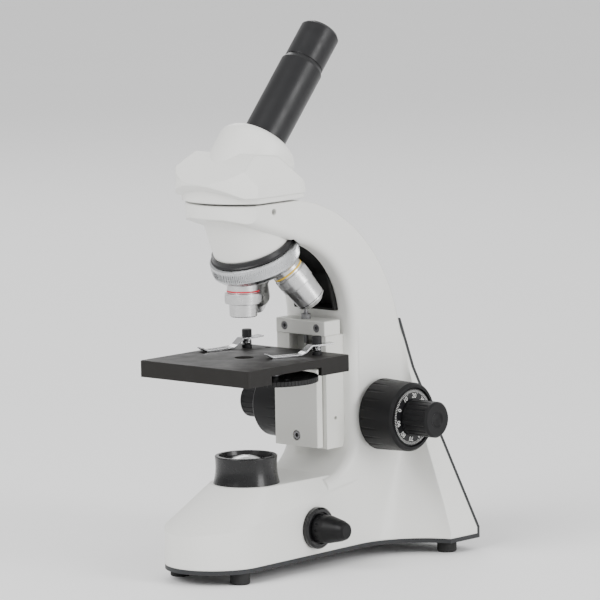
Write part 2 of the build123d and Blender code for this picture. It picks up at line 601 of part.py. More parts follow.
# ---- Nosepiece and objectives -----------------------------------------------------------------------
with BuildPart() as nosepiece_base:
    turn(TURRET, (0, CONE_END), (27.0, CONE_END), (27.6, CONE_END + 2.6), (28.4, CONE_END + 3.2),
         (28.4, RING_START - 0.4), (0, RING_START - 0.4))
    turn(PLAN, *tube_points(0, LIGHT_PATH_RADIUS - 0.5, LIGHT_PATH_FOOT_Z, 230), mode=Mode.SUBTRACT)
save(nosepiece_base, "nosepiece_base")

OBJECTIVES = {"objective_4x": 0, "objective_10x": -120, "objective_40x": 120}
PIVOT_RADIUS = 3.0
SPOT_RADIUS = 11.2
with BuildPart() as nosepiece_turret:
    turn(TURRET, (PIVOT_RADIUS + RUNNING_FIT, RING_START), (28.0, RING_START), (RING_RADIUS, RING_START + 0.8),
         (RING_RADIUS, RING_KNURL_END), (27.0, RING_END), (22.0, RING_END + 2.5),
         (PIVOT_RADIUS + RUNNING_FIT, RING_END + 2.5))
    for angle in OBJECTIVES.values():
        frame = objective_frame(angle)
        turn(frame, (0, 15), (THREAD_RADIUS, 15), (THREAD_RADIUS, SEAT), (SPOT_RADIUS, SEAT),
             (SPOT_RADIUS, 60), (0, 60), mode=Mode.SUBTRACT)
save(nosepiece_turret, "nosepiece_turret")

with BuildPart() as nosepiece_pivot:
    turn(TURRET, (0, RING_START - 0.4), (PIVOT_RADIUS, RING_START - 0.4), (PIVOT_RADIUS, RING_END + 2.8),
         (4.6, RING_END + 2.8), (4.6, RING_END + 4.6), (0, RING_END + 4.6))
save(nosepiece_pivot, "nosepiece_pivot")

# Outside of each objective past its seat, as (radius, distance from the apex) pairs
BARRELS = {
    "objective_4x": ((10.6, SEAT), (10.6, 50.8), (12.0, 51.2), (12.0, 58.0), (9.3, 58.6), (9.1, 66.3),
                     (8.6, 66.8)),
    "objective_10x": ((10.6, SEAT), (10.8, 50.5), (11.4, 51.0), (11.4, 60.2), (10.9, 60.6), (9.8, 74.6),
                      (6.6, 77.4)),
    "objective_40x": ((10.6, SEAT), (10.8, 50.5), (11.4, 51.0), (11.4, 60.2), (9.6, 61.0), (9.2, 78.0),
                      (5.0, 86.4), (4.4, 88.0)),
}
LENS_RADII = {"objective_4x": 4.5, "objective_10x": 3.0, "objective_40x": 1.6}
for name, angle in OBJECTIVES.items():
    frame = objective_frame(angle)
    barrel = BARRELS[name]
    end = barrel[-1][1]
    aperture = LENS_RADII[name]
    with BuildPart() as objective:
        turn(frame, (7.0, THREAD_START), (THREAD_RADIUS - RUNNING_FIT, THREAD_START),
             (THREAD_RADIUS - RUNNING_FIT, SEAT), *barrel, (aperture + 0.8, end), (aperture, end - 1.0),
             (aperture, end - 4.0), (7.0, end - 14.0))
    save(objective, name)
    with BuildPart() as front_lens:
        lens(frame, aperture - 0.02, end - 3.6, 1.4, 0.4)
    save(front_lens, f"{name}_lens")

# ---- Focus drive ------------------------------------------------------------------------------------
with BuildPart() as shaft_bushes:
    for side in (-1, 1):
        start, stop, lip = side * CAVITY_HALF, side * (ARM_HALF + 1.4), side * ARM_HALF
        turn(SHAFT, (COARSE_SHAFT_RADIUS + RUNNING_FIT, start), (7.45, start), (7.45, lip), (9.5, lip),
             (9.5, stop), (COARSE_SHAFT_RADIUS + RUNNING_FIT, stop))
save(shaft_bushes, "shaft_bushes")

KNOB_BORE_END = KNOB_END_X - 8
with BuildPart() as coarse_shaft:
    turn(SHAFT, *tube_points(FINE_SHAFT_RADIUS + RUNNING_FIT, COARSE_SHAFT_RADIUS, -KNOB_BORE_END,
                             KNOB_BORE_END))
save(coarse_shaft, "coarse_shaft")

PITCH_RADIUS = PINION_TEETH * MODULE / 2
PINION_HALF = 4.5
TOOTH_PITCH = pi * MODULE
ROOT_HALF = 0.92
TIP_HALF = 0.34
with BuildPart() as pinion:
    with BuildSketch(SHAFT.offset(-PINION_HALF)):
        Circle(PITCH_RADIUS - 0.95)
        with PolarLocations(radius=PITCH_RADIUS, count=PINION_TEETH, start_angle=180):
            Polygon((-1.1, -ROOT_HALF), (0.85, -TIP_HALF), (0.85, TIP_HALF), (-1.1, ROOT_HALF), align=None)
        Circle(COARSE_SHAFT_RADIUS, mode=Mode.SUBTRACT)
    extrude(amount=2 * PINION_HALF)
save(pinion, "pinion")

FLUTES = 22
for side, name in ((1, "coarse_knob_right"), (-1, "coarse_knob_left")):
    with BuildPart() as coarse_knob:
        inner, outer = side * KNOB_START_X, side * KNOB_END_X
        turn(SHAFT, (COARSE_SHAFT_RADIUS, inner), (KNOB_RADIUS - 0.8, inner), (KNOB_RADIUS, inner + side * 1.0),
             (KNOB_RADIUS - 0.9, outer - side * 1.6), (KNOB_RADIUS - 2.2, outer), (KNOB_RADIUS - 4.0, outer),
             (KNOB_RADIUS - 4.4, outer - side * 1.6), (7.4, outer - side * 1.6), (7.4, side * KNOB_BORE_END),
             (COARSE_SHAFT_RADIUS, side * KNOB_BORE_END))
        with Locations(SHAFT.offset(side * (KNOB_START_X + 2 + (KNOB_END_X - KNOB_START_X - 5) / 2))):
            with PolarLocations(radius=KNOB_RADIUS + 0.9, count=FLUTES):
                Cylinder(radius=1.5, height=KNOB_END_X - KNOB_START_X - 5, mode=Mode.SUBTRACT)
    save(coarse_knob, name)

with BuildPart() as fine_shaft:
    turn(SHAFT, (0, 6 - FINE_END_X), (FINE_SHAFT_RADIUS, 6 - FINE_END_X), (FINE_SHAFT_RADIUS, FINE_END_X - 6),
         (0, FINE_END_X - 6))
save(fine_shaft, "fine_shaft")

FINE_START_X = KNOB_END_X - 0.6
for side, name in ((1, "fine_knob_right"), (-1, "fine_knob_left")):
    with BuildPart() as fine_knob:
        inner, outer = side * FINE_START_X, side * FINE_END_X
        turn(SHAFT, (FINE_SHAFT_RADIUS, inner), (FINE_RADIUS - 0.5, inner), (FINE_RADIUS, inner + side),
             (FINE_RADIUS, outer - side * 1.2), (FINE_RADIUS - 1.2, outer), (5.4, outer),
             (4.2, outer - side * 1.0), (0, outer - side * 1.5), (0, outer - side * 6), (FINE_SHAFT_RADIUS, outer - side * 6))
        with Locations(SHAFT.offset(side * (FINE_START_X + 2 + 8.6))):
            with PolarLocations(radius=FINE_RADIUS + 0.35, count=20):
                Cylinder(radius=0.8, height=17, mode=Mode.SUBTRACT)
    save(fine_knob, name)

with BuildPart() as focus_dials:
    for side in (-1, 1):
        turn(SHAFT, *tube_points(FINE_SHAFT_RADIUS, KNOB_RADIUS - 5.0, side * (KNOB_END_X - 1.3),
                                 side * FINE_START_X))
save(focus_dials, "focus_dials")

with BuildPart() as guide_block:
    extrude(outline(FRONT.offset(-ARM_FRONT_Y), (-GUIDE_HALF, GUIDE_BOTTOM_Z), (GUIDE_HALF, GUIDE_BOTTOM_Z),
                    (GUIDE_HALF, GUIDE_TOP_Z), (-GUIDE_HALF, GUIDE_TOP_Z)), amount=ARM_FRONT_Y - GUIDE_FRONT_Y)
    with BuildSketch(PLAN.offset(GUIDE_BOTTOM_Z)):
        with BuildLine():
            Polyline((0, GUIDE_FRONT_Y - 1), (CHANNEL_HALF, GUIDE_FRONT_Y - 1),
                     (CHANNEL_HALF, GUIDE_FRONT_Y + 4), (CHANNEL_HALF + 3, GUIDE_FRONT_Y + 6), (CHANNEL_HALF + 3, GUIDE_FRONT_Y + 12),
                     (0, GUIDE_FRONT_Y + 12))
            mirror(about=Plane.YZ)
        make_face()
    extrude(amount=GUIDE_TOP_Z - GUIDE_BOTTOM_Z, mode=Mode.SUBTRACT)
    extrude(web_slot(ARM_FRONT_Y), amount=10, mode=Mode.SUBTRACT)
    with Locations(Plane(origin=(GUIDE_HALF, AXIS_Y + 65.4, SHAFT_Z), z_dir=(1, 0, 0))):
        Hole(radius=1.3, depth=4)
save(guide_block, "guide_block")

CROSSBAR_SCREW_X = 14.0
CROSSBAR_SCREW_Z = GUIDE_TOP_Z + 5
CROSSBAR_FRONT_Y = GUIDE_FRONT_Y - 1
STOP_Y = 61.5
with BuildPart() as crossbar:
    extrude(outline(PLAN.offset(GUIDE_TOP_Z), (-GUIDE_HALF, CROSSBAR_FRONT_Y), (GUIDE_HALF, CROSSBAR_FRONT_Y),
                    (GUIDE_HALF, CROSSBAR_FRONT_Y + 16), (-GUIDE_HALF, CROSSBAR_FRONT_Y + 16)),
            amount=CROSSBAR_HEIGHT)
    chamfer(crossbar.edges(), length=0.5)
    for x in (-CROSSBAR_SCREW_X, CROSSBAR_SCREW_X):
        with Locations(Plane(origin=(x, AXIS_Y + CROSSBAR_FRONT_Y, CROSSBAR_SCREW_Z), z_dir=(0, -1, 0))):
            CounterBoreHole(radius=1.6, counter_bore_radius=2.9, counter_bore_depth=3.2, depth=16)
    turn(Plane(origin=(0, AXIS_Y + STOP_Y, 0)), (0, GUIDE_TOP_Z), (1.5, GUIDE_TOP_Z),
         (1.5, GUIDE_TOP_Z + CROSSBAR_HEIGHT), (0, GUIDE_TOP_Z + CROSSBAR_HEIGHT), mode=Mode.SUBTRACT)
save(crossbar, "crossbar")


def socket_screw(frame, head_radius, head_height, shank_radius, shank_length):
    """Socket-head screw in the open part: head from the frame outwards, shank behind it."""
    turn(frame, (0, -shank_length), (shank_radius, -shank_length), (shank_radius, 0), (head_radius, 0),
         (head_radius, head_height), (0, head_height))
    with BuildSketch(frame.offset(head_height)) as hexagon:
        RegularPolygon(radius=head_radius * 0.55, side_count=6)
    extrude(hexagon.sketch, amount=-head_height * 0.6, mode=Mode.SUBTRACT)


with BuildPart() as crossbar_screws:
    for x in (-CROSSBAR_SCREW_X, CROSSBAR_SCREW_X):
        seat_y = AXIS_Y + CROSSBAR_FRONT_Y + 3.2
        seat = Plane(origin=(x, seat_y, CROSSBAR_SCREW_Z), x_dir=(1, 0, 0), z_dir=(0, -1, 0))
        socket_screw(seat, 2.7, 2.8, 1.55, 12.4)
save(crossbar_screws, "crossbar_screws")

STOP_FRAME = Plane(origin=(0, AXIS_Y + STOP_Y, GUIDE_TOP_Z + CROSSBAR_HEIGHT))
with BuildPart() as stop_screw:
    turn(STOP_FRAME, (0, -CROSSBAR_HEIGHT - 6.2), (1.45, -CROSSBAR_HEIGHT - 6.2), (1.45, 7.4), (0, 7.4))
save(stop_screw, "stop_screw")

with BuildPart() as stop_nut:
    turn(STOP_FRAME, *tube_points(1.5, 3.1, 0, 3.4))
    with Locations(STOP_FRAME.offset(1.7)):
        with PolarLocations(radius=3.3, count=14):
            Cylinder(radius=0.4, height=3.4, mode=Mode.SUBTRACT)
save(stop_nut, "stop_nut")

# ---- Carriage: slides in the guide, driven by the rack ----------------------------------------------
SLIDE_BOTTOM_Z = 94.0
SLIDE_TOP_Z = 139.0
RACK_PITCH_Y = SHAFT_Y - PITCH_RADIUS
SLIDE_FRONT_Y = CARRIAGE_FRONT_Y + CARRIAGE_THICKNESS
WEB_HALF = 5.5
NECK_HALF = CHANNEL_HALF - SLIDE_GAP
SLIDE_HALF = CHANNEL_HALF + 3 - SLIDE_GAP
with BuildPart() as carriage_slide:
    with BuildSketch(PLAN.offset(SLIDE_BOTTOM_Z)):
        with BuildLine():
            Polyline((0, SLIDE_FRONT_Y), (NECK_HALF, SLIDE_FRONT_Y), (NECK_HALF, GUIDE_FRONT_Y + 4.2),
                     (SLIDE_HALF, GUIDE_FRONT_Y + 6.4), (SLIDE_HALF, GUIDE_FRONT_Y + 11.6),
                     (WEB_HALF, GUIDE_FRONT_Y + 11.6), (WEB_HALF, RACK_PITCH_Y - 4), (0, RACK_PITCH_Y - 4))
            mirror(about=Plane.YZ)
        make_face()
    extrude(amount=SLIDE_TOP_Z - SLIDE_BOTTOM_Z)
save(carriage_slide, "carriage_slide")

RACK_TEETH = 12
RACK_FIRST_Z = SHAFT_Z - 3.5 * TOOTH_PITCH
with BuildPart() as rack:
    rack_foot_z = RACK_FIRST_Z - 1.5
    extrude(outline(SIDE.offset(-PINION_HALF), (RACK_PITCH_Y - 4, rack_foot_z), (RACK_PITCH_Y - 1, rack_foot_z),
                    (RACK_PITCH_Y - 1, SLIDE_TOP_Z), (RACK_PITCH_Y - 4, SLIDE_TOP_Z)), amount=2 * PINION_HALF)
    for step in range(RACK_TEETH):
        z = RACK_FIRST_Z + step * TOOTH_PITCH
        extrude(outline(SIDE.offset(-PINION_HALF), (RACK_PITCH_Y - 1.2, z - ROOT_HALF),
                        (RACK_PITCH_Y + 0.8, z - TIP_HALF), (RACK_PITCH_Y + 0.8, z + TIP_HALF),
                        (RACK_PITCH_Y - 1.2, z + ROOT_HALF)), amount=2 * PINION_HALF)
save(rack, "rack")

CARRIAGE_SCREW_Z = 84.5
with BuildPart() as carriage_plate:
    extrude(outline(FRONT.offset(-SLIDE_FRONT_Y), (-CARRIAGE_HALF, CARRIAGE_BOTTOM_Z),
                    (CARRIAGE_HALF, CARRIAGE_BOTTOM_Z), (CARRIAGE_HALF, CARRIAGE_TOP_Z),
                    (-CARRIAGE_HALF, CARRIAGE_TOP_Z)), amount=CARRIAGE_THICKNESS)
    chamfer(carriage_plate.edges().filter_by(Axis.Z), length=0.5)
    with Locations(Plane(origin=(0, AXIS_Y + CARRIAGE_FRONT_Y, CARRIAGE_SCREW_Z), z_dir=(0, -1, 0))):
        CounterBoreHole(radius=1.6, counter_bore_radius=3.4, counter_bore_depth=3.4, depth=CARRIAGE_THICKNESS)
save(carriage_plate, "carriage_plate")

with BuildPart() as carriage_screw:
    seat_y = AXIS_Y + CARRIAGE_FRONT_Y + 3.4
    seat = Plane(origin=(0, seat_y, CARRIAGE_SCREW_Z), x_dir=(1, 0, 0), z_dir=(0, -1, 0))
    socket_screw(seat, 2.7, 2.9, 1.55, CARRIAGE_THICKNESS - 3.4)
save(carriage_screw, "carriage_screw")

PIN_X = 12.0
PIN_Y = CARRIAGE_FRONT_Y + 2.6
PIN_RADIUS = 1.5
PIN_TOP = 137.0
with BuildPart() as fine_guide_pins:
    with Locations(PLAN.offset(CARRIAGE_TOP_Z)):
        with Locations((-PIN_X, PIN_Y), (PIN_X, PIN_Y)):
            Cylinder(radius=PIN_RADIUS, height=PIN_TOP - CARRIAGE_TOP_Z,
                     align=(Align.CENTER, Align.CENTER, Align.MIN))
save(fine_guide_pins, "fine_guide_pins")

# ---- Stage ------------------------------------------------------------------------------------------
STAGE_BOTTOM_Z = STAGE_TOP_Z - STAGE_SKIRT
SLAB_BOTTOM_Z = STAGE_TOP_Z - STAGE_SLAB
BRACKET_HALF = 17.0
BRACKET_FRONT_Y = 40.0
BRACKET_BOTTOM_Z = CARRIAGE_TOP_Z + 1.2
STAGE_CENTRE_Y = (STAGE_FRONT_Y + STAGE_BACK_Y) / 2
STAGE_LENGTH = STAGE_BACK_Y - STAGE_FRONT_Y
SKIRT_WALL = 3.0
NOTCH = (-26.5, 22.3)
with BuildPart() as stage_plate:
    with BuildSketch(PLAN.offset(STAGE_BOTTOM_Z)):
        with Locations((0, STAGE_CENTRE_Y)):
            RectangleRounded(STAGE_WIDTH, STAGE_LENGTH, radius=1.6)
    extrude(amount=STAGE_SKIRT)
    with BuildSketch(PLAN.offset(STAGE_BOTTOM_Z)):
        with Locations((0, STAGE_CENTRE_Y)):
            RectangleRounded(STAGE_WIDTH - 2 * SKIRT_WALL, STAGE_LENGTH - 2 * SKIRT_WALL, radius=1)
    extrude(amount=STAGE_SKIRT - STAGE_SLAB, mode=Mode.SUBTRACT)
    # finger notch for the diaphragm on both sides, and the notch for the bracket behind
    extrude(outline(SIDE.offset(-STAGE_WIDTH), (NOTCH[0], STAGE_BOTTOM_Z), (NOTCH[1], STAGE_BOTTOM_Z),
                    (NOTCH[1], STAGE_BOTTOM_Z + 5.6), (NOTCH[0], STAGE_BOTTOM_Z + 5.6)),
            amount=2 * STAGE_WIDTH, mode=Mode.SUBTRACT)
    extrude(outline(PLAN.offset(STAGE_BOTTOM_Z), (-BRACKET_HALF, BRACKET_FRONT_Y),
                    (BRACKET_HALF, BRACKET_FRONT_Y), (BRACKET_HALF, STAGE_BACK_Y + 1),
                    (-BRACKET_HALF, STAGE_BACK_Y + 1)),
            amount=STAGE_SKIRT - STAGE_SLAB, mode=Mode.SUBTRACT)
    with Locations(PLAN.offset(STAGE_TOP_Z)):
        Hole(radius=6.5, depth=STAGE_SLAB)
        with Locations((-19.2, 44.7)):
            Hole(radius=2.0, depth=STAGE_SLAB)
    chamfer(stage_plate.faces().sort_by(Axis.Z)[-1].outer_wire().edges(), length=0.5)
save(stage_plate, "stage_plate")

with BuildPart() as stage_bracket:
    extrude(outline(PLAN.offset(BRACKET_BOTTOM_Z), (-BRACKET_HALF, BRACKET_FRONT_Y),
                    (BRACKET_HALF, BRACKET_FRONT_Y), (BRACKET_HALF, SLIDE_FRONT_Y - 0.2),
                    (-BRACKET_HALF, SLIDE_FRONT_Y - 0.2)),
            amount=SLAB_BOTTOM_Z - BRACKET_BOTTOM_Z)
    with Locations(PLAN.offset(BRACKET_BOTTOM_Z)):
        with Locations((-PIN_X, PIN_Y), (PIN_X, PIN_Y)):
            Cylinder(radius=PIN_RADIUS + RUNNING_FIT, height=PIN_TOP - BRACKET_BOTTOM_Z + 1.2,
                     align=(Align.CENTER, Align.CENTER, Align.MIN), mode=Mode.SUBTRACT)
save(stage_bracket, "stage_bracket")

PIVOT_PIN_RADIUS = 2.0
DISC_FRAME = Plane(origin=(DISC_X, AXIS_Y + DISC_Y, DISC_Z))
DISC_HOLES = (5.5, 4.0, 2.8, 1.8, 1.0)
DISC_HOLE_RADIUS = (DISC_X**2 + DISC_Y**2) ** 0.5
with BuildPart() as disc_diaphragm:
    turn(DISC_FRAME, *tube_points(PIVOT_PIN_RADIUS + RUNNING_FIT, DISC_RADIUS, 0, DISC_THICKNESS))
    with Locations(DISC_FRAME.offset(DISC_THICKNESS / 2)):
        with PolarLocations(radius=DISC_RADIUS + 0.2, count=72):
            Cylinder(radius=0.65, height=DISC_THICKNESS, mode=Mode.SUBTRACT)
    axis_angle = degrees(atan2(-DISC_Y, -DISC_X))
    for step, radius in enumerate(DISC_HOLES):
        angle = radians(axis_angle + step * 360 / len(DISC_HOLES))
        with Locations(DISC_FRAME.offset(DISC_THICKNESS)):
            with Locations((DISC_HOLE_RADIUS * cos(angle), DISC_HOLE_RADIUS * sin(angle))):
                Hole(radius=radius, depth=DISC_THICKNESS)
save(disc_diaphragm, "disc_diaphragm")

with BuildPart() as diaphragm_pivot:
    turn(DISC_FRAME, (0, -1.6), (3.4, -1.6), (3.4, -0.3), (PIVOT_PIN_RADIUS, -0.3),
         (PIVOT_PIN_RADIUS, DISC_THICKNESS + 0.3), (5.0, DISC_THICKNESS + 0.3), (5.0, SLAB_BOTTOM_Z - DISC_Z),
         (0, SLAB_BOTTOM_Z - DISC_Z))
save(diaphragm_pivot, "diaphragm_pivot")

# Clip posts, springs and clips
CLIP_LIFT = 6.2
CLIP_Z = STAGE_TOP_Z + CLIP_LIFT
CLIP_THICKNESS = 0.8
POST_RADIUS = 1.8
with BuildPart() as clip_posts:
    for side in (-1, 1):
        frame = Plane(origin=(side * POST_X, AXIS_Y + POST_Y, STAGE_TOP_Z))
        top = CLIP_Z - STAGE_TOP_Z + CLIP_THICKNESS
        turn(frame, (0, 0), (3.4, 0), (3.4, 2.0), (POST_RADIUS, 2.0), (POST_RADIUS, top + 0.3),
             (3.3, top + 0.3), (3.3, top + 5.0), (2.9, top + 5.4), (0, top + 5.4))
save(clip_posts, "clip_posts")

WIRE_RADIUS = 0.45
COIL_RADIUS = 2.8
COIL_PITCH = 1.0
with BuildPart() as clip_springs:
    for side in (-1, 1):
        with BuildLine(Plane(origin=(side * POST_X, AXIS_Y + POST_Y, STAGE_TOP_Z + 2.6))):
            coil = Helix(pitch=COIL_PITCH, height=3 * COIL_PITCH, radius=COIL_RADIUS)
        with BuildSketch(Plane(origin=coil @ 0, z_dir=coil % 0)):
            Circle(WIRE_RADIUS)
        sweep(path=coil, is_frenet=True)
save(clip_springs, "clip_springs")

CLIP_WIDTH = 7.5
CLIP_SLOT_REACH = 22.5
CLIP_SLOT_LENGTH = 15.0
# Bent sheet of the clip seen from its side, as (reach, height over the stage) points
CLIP_UNDERSIDE = ((-11, CLIP_LIFT + 0.6), (-4, CLIP_LIFT), (4.5, CLIP_LIFT), (9, 2.2), (12, 0.8), (33, 0.35),
                  (36.5, 2.4))
CLIP_TOPSIDE = ((36.0, 3.1), (32.8, 1.15), (12.2, 1.6), (9.6, 2.9), (5, CLIP_LIFT + 0.8), (-4, CLIP_LIFT + 0.8),
                (-11, CLIP_LIFT + 1.4))
CLIP_ANGLES = {"clip_left": (-1, -16.0), "clip_right": (1, -24.0)}
for name, (side, angle) in CLIP_ANGLES.items():
    post = Vector(side * POST_X, AXIS_Y + POST_Y, 0)
    forward = Vector(0, -1, 0).rotate(Axis.Z, angle)
    sideways = forward.cross(Vector(0, 0, 1))
    profile = Plane(origin=post + Vector(0, 0, STAGE_TOP_Z), x_dir=forward, z_dir=sideways)
    with BuildPart() as clip:
        extrude(outline(profile.offset(-CLIP_WIDTH / 2), *CLIP_UNDERSIDE, *CLIP_TOPSIDE), amount=CLIP_WIDTH)
        turn(Plane(origin=post), *tube_points(0, POST_RADIUS + RUNNING_FIT, STAGE_TOP_Z, CLIP_Z + 3),
             mode=Mode.SUBTRACT)
        slot = Plane(origin=post + forward * CLIP_SLOT_REACH + Vector(0, 0, STAGE_TOP_Z), x_dir=forward,
                     z_dir=(0, 0, 1))
        with BuildSketch(slot):
            SlotOverall(CLIP_SLOT_LENGTH, 2.6)
        extrude(amount=4, mode=Mode.SUBTRACT)
    save(clip, name)
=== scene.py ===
"""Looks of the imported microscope: materials, small raised detail, camera, lights and floor."""

import json
from math import cos, pi, radians, sin, tau

import bpy
from mathutils import Matrix, Vector


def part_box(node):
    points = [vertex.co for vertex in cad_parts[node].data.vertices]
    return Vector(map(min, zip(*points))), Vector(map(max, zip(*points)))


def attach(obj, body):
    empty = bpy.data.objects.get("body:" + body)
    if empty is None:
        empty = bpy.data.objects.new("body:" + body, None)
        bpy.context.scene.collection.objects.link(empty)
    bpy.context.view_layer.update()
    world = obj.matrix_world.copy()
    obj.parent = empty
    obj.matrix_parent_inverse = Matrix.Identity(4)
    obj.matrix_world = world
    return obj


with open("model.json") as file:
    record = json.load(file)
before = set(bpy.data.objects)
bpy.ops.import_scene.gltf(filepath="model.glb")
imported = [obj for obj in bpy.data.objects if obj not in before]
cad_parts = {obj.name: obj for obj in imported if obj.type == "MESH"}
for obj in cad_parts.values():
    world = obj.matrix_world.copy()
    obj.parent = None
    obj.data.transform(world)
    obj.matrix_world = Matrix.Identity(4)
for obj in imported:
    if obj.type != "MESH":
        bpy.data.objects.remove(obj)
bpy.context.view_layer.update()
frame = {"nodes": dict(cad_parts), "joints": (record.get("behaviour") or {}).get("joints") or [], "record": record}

MM = 0.001
JOINTS = {joint["name"]: joint for joint in frame["joints"]}
NODES = frame["nodes"]

# ---- Places taken from the frame --------------------------------------------------------------------
AXIS_Y = sum(corner[1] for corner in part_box("illuminator_collar")) / 2
APEX = Vector(JOINTS["turret_turn"]["pos_m"])
TURRET_AXIS = Vector(JOINTS["turret_turn"]["axis"])
SHAFT = Vector(JOINTS["coarse_knob"]["pos_m"])
COLLAR_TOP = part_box("illuminator_collar")[1][2]
DIAL_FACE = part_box("focus_dials")[1][0]


# Distances along and across the axes of the nosepiece, the dials and the lamp
RING_RADIUS = 29.55 * MM
RING_KNURL = (28.6 * MM, 35.6 * MM)
BAND_BORE = 10.2 * MM
OBJECTIVES = {
    # name: turn in degrees, colour of its band, the band's ends, the band's radius
    "4x": (0, "band_red", (49.4 * MM, 50.4 * MM), 10.75 * MM),
    "10x": (-120, "band_yellow", (48.2 * MM, 49.4 * MM), 10.9 * MM),
    "40x": (120, "band_blue", (48.2 * MM, 49.4 * MM), 10.9 * MM),
}
STRAIGHT_KNURL = ((11.95 * MM, 51.6 * MM), (11.95 * MM, 57.7 * MM))
CROSSED_KNURL = ((11.35 * MM, 51.4 * MM), (11.35 * MM, 57.4 * MM))
# Outline of the painted-shade ring in the groove of the 10x objective.
GROOVE_SHADE_10X = ((9.7 * MM, 73.4 * MM), (9.95 * MM, 73.4 * MM), (9.92 * MM, 73.8 * MM), (9.6 * MM, 73.8 * MM))
DIAL_START = 155
TICKS = 100
TICK_OUTER = 18.2 * MM
TICK_INNER = 16.6 * MM
LONG_TICK_INNER = 15.9 * MM
TICK_HALF = 0.12 * MM
TICK_LIFT = 0.04 * MM
NUMBER_RADIUS = 14.2 * MM
NUMBER_SIZE = 4.3 * MM
NUMBER_THICKNESS = 0.02 * MM
RIBS = 5
RIB_DEPTH = 9.0 * MM
RIB_PITCH = 1.4 * MM
RIB_FOOT = 17.05 * MM
RIB_CREST = 16.5 * MM
RIB_HALF = 0.35 * MM


def objective_axis(turn):
    """Direction of the optical axis of the objective at that turn of the nosepiece."""
    return Matrix.Rotation(radians(turn), 3, TURRET_AXIS) @ Vector((0, 0, -1))


# ---- Materials --------------------------------------------------------------------------------------
class Finish:
    """A node material that starts from a principled shader, with helpers for its usual detail."""

    def __init__(self, name, colour, roughness, metallic=0.0, coat=0.0, specular=0.5):
        self.material = bpy.data.materials.new(name)
        self.material.use_nodes = True
        self.material.diffuse_color = (*colour, 1)
        self.tree = self.material.node_tree
        self.shader = self.tree.nodes["Principled BSDF"]
        self.shader.inputs["Metallic"].default_value = metallic
        self.shader.inputs["Coat Weight"].default_value = coat
        self.shader.inputs["Coat Roughness"].default_value = 0.12
        self.shader.inputs["Specular IOR Level"].default_value = specular
        self.shader.inputs["Base Color"].default_value = (*colour, 1)
        self.shader.inputs["Roughness"].default_value = roughness
        self.place = self.add("ShaderNodeTexCoord").outputs["Object"]
        self.normal = None

    def add(self, kind, **settings):
        """New node with those settings."""
        node = self.tree.nodes.new(kind)
        for key, value in settings.items():
            setattr(node, key, value)
        return node

    def link(self, source, target):
        self.tree.links.new(source, target)

    def noise(self, size, detail=3.0, stretch=(1, 1, 1)):
        """Noise with features of about that size in metres."""
        place = self.place
        if stretch != (1, 1, 1):
            mapping = self.add("ShaderNodeMapping")
            mapping.inputs["Scale"].default_value = stretch
            self.link(self.place, mapping.inputs["Vector"])
            place = mapping.outputs["Vector"]
        noise = self.add("ShaderNodeTexNoise")
        noise.inputs["Scale"].default_value = 1 / size
        noise.inputs["Detail"].default_value = detail
        self.link(place, noise.inputs["Vector"])
        return noise.outputs["Fac"]

    def spread(self, value, low, high, start=0.3, end=0.7):
        """A value between low and high that follows another one."""
        node = self.add("ShaderNodeMapRange")
        node.inputs["From Min"].default_value = start
        node.inputs["From Max"].default_value = end
        node.inputs["To Min"].default_value = low
        node.inputs["To Max"].default_value = high
        self.link(value, node.inputs["Value"])
        return node.outputs["Result"]

    def blend(self, factor, first, second):
        """Mix of two colours, each a constant or a socket."""
        mix = self.add("ShaderNodeMix", data_type="RGBA")
        self.link(factor, mix.inputs["Factor"])
        for socket, colour in ((mix.inputs[6], first), (mix.inputs[7], second)):
            if isinstance(colour, tuple):
                socket.default_value = (*colour, 1)
            else:
                self.link(colour, socket)
        return mix.outputs[2]

    def soft_edges(self, radius):
        """Rounds sharp edges in shading and returns a mask that is 1 on them."""
        bevel = self.add("ShaderNodeBevel", samples=6)
        bevel.inputs["Radius"].default_value = radius
        self.normal = bevel.outputs["Normal"]
        dot = self.add("ShaderNodeVectorMath", operation="DOT_PRODUCT")
        self.link(self.normal, dot.inputs[0])
        self.link(self.add("ShaderNodeNewGeometry").outputs["Normal"], dot.inputs[1])
        return self.spread(dot.outputs["Value"], 1.0, 0.0, 0.86, 0.99)

    def bump(self, height, depth):
        """Small relief of that depth in metres on top of what the normal already has."""
        node = self.add("ShaderNodeBump")
        node.inputs["Strength"].default_value = 1.0
        node.inputs["Distance"].default_value = depth
        self.link(height, node.inputs["Height"])
        if self.normal:
            self.link(self.normal, node.inputs["Normal"])
        self.normal = node.outputs["Normal"]

    def done(self, colour=None, roughness=None):
        """Plugs what was made into the shader and returns the material."""
        if colour:
            self.link(colour, self.shader.inputs["Base Color"])
        if roughness:
            self.link(roughness, self.shader.inputs["Roughness"])
        if self.normal:
            self.link(self.normal, self.shader.inputs["Normal"])
        return self.material


def shade(colour, factor):
    """The colour made lighter or darker by that factor."""
    return tuple(min(1.0, channel * factor) for channel in colour)


def paint(name, colour, roughness, radius, grain, depth, coat=0.0, wear_and_highlight=None, specular=0.5):
    """Sprayed paint: fine orange peel, faint mottling and a patchy lighter edge that is partly worn paint and
    partly painted highlight.
    """
    finish = Finish(name, colour, roughness, coat=coat, specular=specular)
    edge = finish.soft_edges(radius)
    finish.bump(finish.noise(grain), depth)
    mottle = finish.blend(finish.noise(0.03), shade(colour, 0.965), shade(colour, 1.02))
    # The lighter edge colour is partly worn paint and partly a painted highlight.
    patchy = finish.add("ShaderNodeMath", operation="MULTIPLY")
    finish.link(edge, patchy.inputs[0])
    finish.link(finish.spread(finish.noise(0.006), 0.0, 0.6), patchy.inputs[1])
    colour_out = finish.blend(patchy.outputs[0], mottle, wear_and_highlight or shade(colour, 1.06))
    return finish.done(colour_out, finish.spread(finish.noise(0.012), roughness - 0.05, roughness + 0.07))


